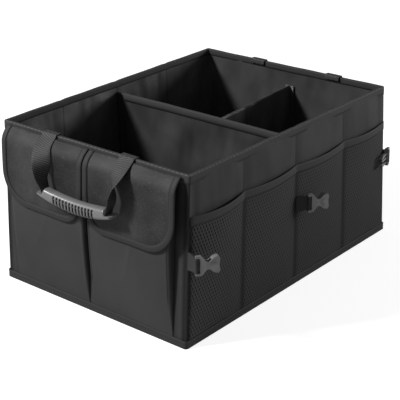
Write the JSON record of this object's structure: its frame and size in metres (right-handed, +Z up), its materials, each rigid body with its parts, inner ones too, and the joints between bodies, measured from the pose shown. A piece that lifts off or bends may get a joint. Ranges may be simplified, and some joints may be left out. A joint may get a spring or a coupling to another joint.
{
  "type": "car trunk organizer",
  "caption": "Open rectangular cloth storage box with stiff leaning end walls, dividers, flap pouches, net pockets, webbing handles with moulded grips and side-release buckle halves.",
  "frame": {"origin": "centre of the underside", "axes": "+X to the side with the long wall seen in the picture, -Y towards the wall with the pouches, +Z up"},
  "size_m": [0.5146, 0.6565, 0.3019],
  "materials": {
    "cover": "woven cloth",
    "board": "sheet board",
    "base_board": "cloth-covered board",
    "lining": "coated cloth",
    "tape": "binding tape",
    "net": "fine net",
    "band": "elastic",
    "webbing": "ribbed webbing",
    "grip": "satin",
    "buckle": "satin"
  },
  "bodies": {
    "organizer": {"outer_cover": "cover", "lining": "lining", "right_board_1": "board", "right_board_2": "board", "right_board_3": "board", "right_board_4": "board", "left_board_1": "board", "left_board_2": "board", "left_board_3": "board", "left_board_4": "board", "front_board": "board", "rear_board": "board", "rim_tape": "tape", "hem_tape": "tape", "floor_cover": "cover", "base_board_front": "base_board", "base_board_rear": "base_board", "main_divider": "lining", "main_divider_tape": "tape", "cross_divider": "lining", "right_pouch": "cover", "right_flap": "cover", "right_flap_binding": "tape", "right_net": "net", "right_net_band": "band", "left_pouch": "cover", "left_flap": "cover", "left_flap_binding": "tape", "left_net": "net", "left_net_band": "band", "front_anchor_left": "webbing", "front_anchor_right": "webbing", "rear_anchor_left": "webbing", "rear_anchor_right": "webbing", "right_front_socket_tab": "webbing", "right_middle_socket_tab": "webbing", "right_rear_plug_tab": "webbing", "left_front_socket_tab": "webbing", "left_middle_socket_tab": "webbing", "left_rear_plug_tab": "webbing"},
    "front_handle": {"front_handle_strap": "webbing", "front_handle_grip": "grip"},
    "rear_handle": {"rear_handle_strap": "webbing", "rear_handle_grip": "grip"},
    "right_front_socket": {"right_front_socket": "buckle"},
    "right_middle_socket": {"right_middle_socket": "buckle"},
    "right_rear_plug": {"right_rear_plug": "buckle"},
    "left_front_socket": {"left_front_socket": "buckle"},
    "left_middle_socket": {"left_middle_socket": "buckle"},
    "left_rear_plug": {"left_rear_plug": "buckle"}
  },
  "joints": [
    {"name": "front_handle_swing", "type": "hinge", "parent": "organizer", "child": "front_handle", "pos_m": [-0.006, -0.28413, 0.3011], "axis": [-1, 0, 0], "range_deg": [0, 165]},
    {"name": "rear_handle_swing", "type": "hinge", "parent": "organizer", "child": "rear_handle", "pos_m": [0.012, 0.28413, 0.3011], "axis": [1, 0, 0], "range_deg": [0, 165]},
    {"name": "right_front_socket_turn", "type": "hinge", "parent": "organizer", "child": "right_front_socket", "pos_m": [0.236, -0.29404, 0.156], "axis": [0, 0, 1], "range_deg": [-100, 40]},
    {"name": "right_middle_socket_turn", "type": "hinge", "parent": "organizer", "child": "right_middle_socket", "pos_m": [0.232, 0.017, 0.156], "axis": [0, 0, 1], "range_deg": [-100, 30]},
    {"name": "right_rear_plug_turn", "type": "hinge", "parent": "organizer", "child": "right_rear_plug", "pos_m": [0.2195, 0.29904, 0.156], "axis": [0, 0, 1], "range_deg": [0, 120]},
    {"name": "left_front_socket_turn", "type": "hinge", "parent": "organizer", "child": "left_front_socket", "pos_m": [-0.227, -0.27264, 0.156], "axis": [0, 0, -1], "range_deg": [-110, 8]},
    {"name": "left_middle_socket_turn", "type": "hinge", "parent": "organizer", "child": "left_middle_socket", "pos_m": [-0.232, 0.017, 0.156], "axis": [0, 0, -1], "range_deg": [-100, 30]},
    {"name": "left_rear_plug_turn", "type": "hinge", "parent": "organizer", "child": "left_rear_plug", "pos_m": [-0.2195, 0.29904, 0.156], "axis": [0, 0, -1], "range_deg": [0, 120]}
  ]
}
